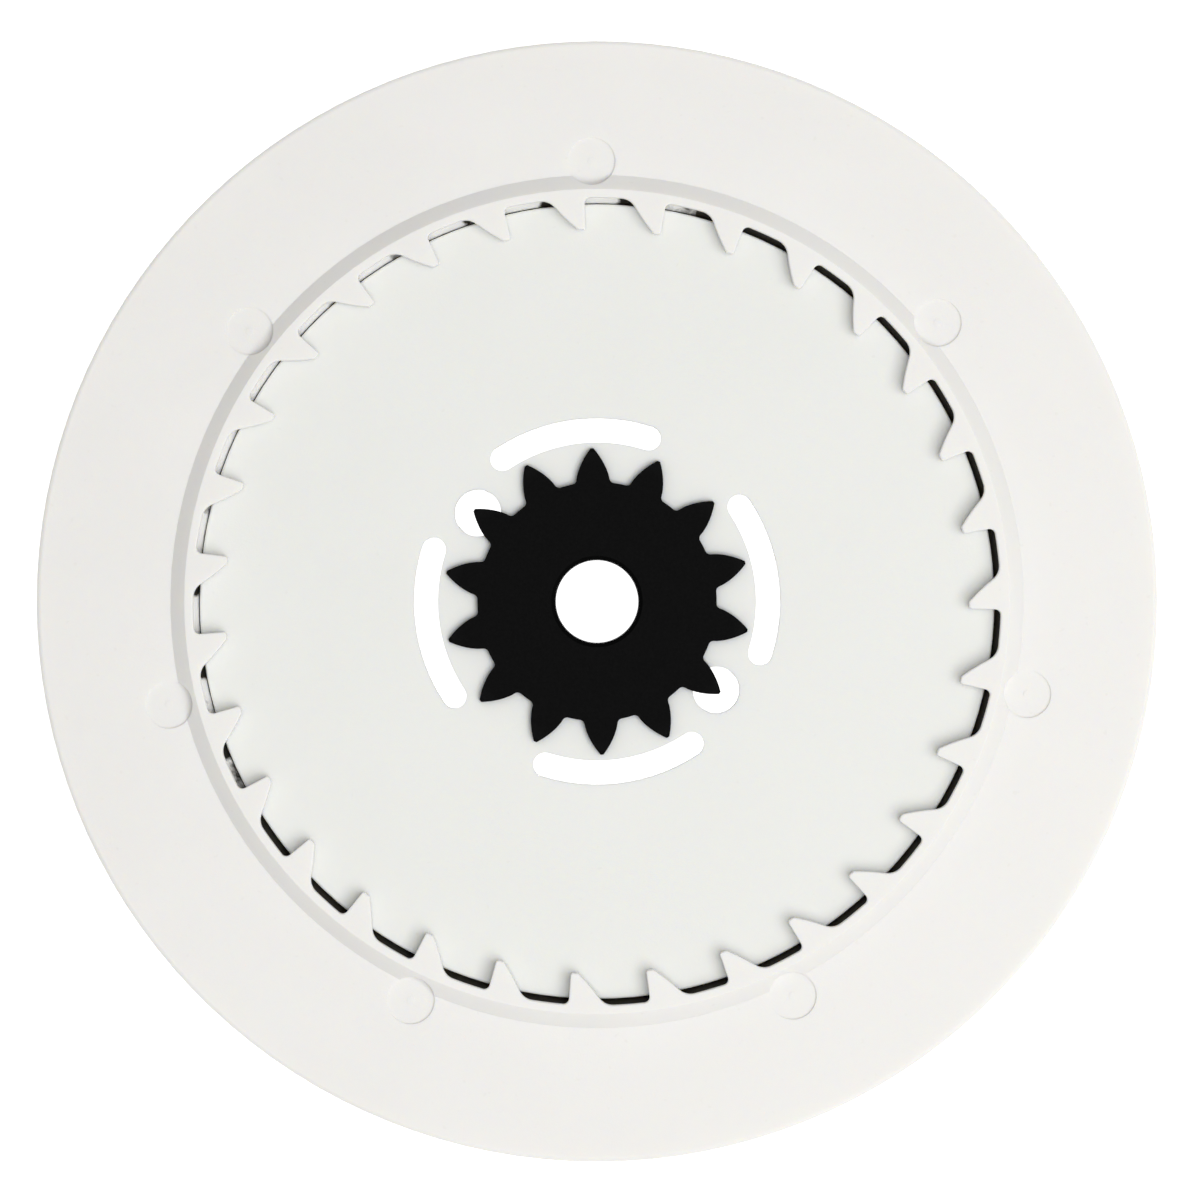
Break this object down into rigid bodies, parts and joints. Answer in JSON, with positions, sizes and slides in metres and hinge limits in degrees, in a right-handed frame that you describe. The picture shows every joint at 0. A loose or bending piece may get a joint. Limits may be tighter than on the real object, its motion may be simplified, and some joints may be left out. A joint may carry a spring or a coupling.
{
  "type": "spur gear",
  "caption": "Flanged ratchet ring with internal saw teeth around a plain web disc that carries a small black spur pinion on a through bore.",
  "frame": {"origin": "on the bore axis, at the pinion's rear end", "axes": "+Z along the bore axis, out of the ratchet side; +X is a radius of the flange, and the ratchet pockets are counted from it"},
  "size_m": [0.12, 0.12, 0.0239],
  "materials": {
    "ring_acetal": "warm white injection-moulded acetal, fine matt grain",
    "disc_acetal": "cooler white injection-moulded acetal, fine matt grain",
    "pinion_black": "sintered steel, steam-blackened, matt",
    "spring_steel": "blued spring steel",
    "friction_fibre": "dark brown woven friction fibre",
    "plate_steel": "blanked and zinc-plated steel",
    "screw_steel": "zinc-plated steel"
  },
  "bodies": {
    "wheel": {"ratchet_ring": "ring_acetal", "rear_cover": "ring_acetal", "friction_ring": "friction_fibre", "pressure_plate": "plate_steel", "disc_spring": "spring_steel", "cover_screw_1": "screw_steel", "cover_screw_2": "screw_steel", "cover_screw_3": "screw_steel", "cover_screw_4": "screw_steel", "cover_screw_5": "screw_steel", "cover_screw_6": "screw_steel", "cover_screw_7": "screw_steel"},
    "spindle": {"web_disc": "disc_acetal", "drive_pinion": "pinion_black"}
  },
  "joints": [
    {"name": "clutch_slip", "type": "hinge", "parent": "wheel", "child": "spindle", "pos_m": [0, 0, 0], "axis": [0, 0, 1], "continuous": true}
  ]
}
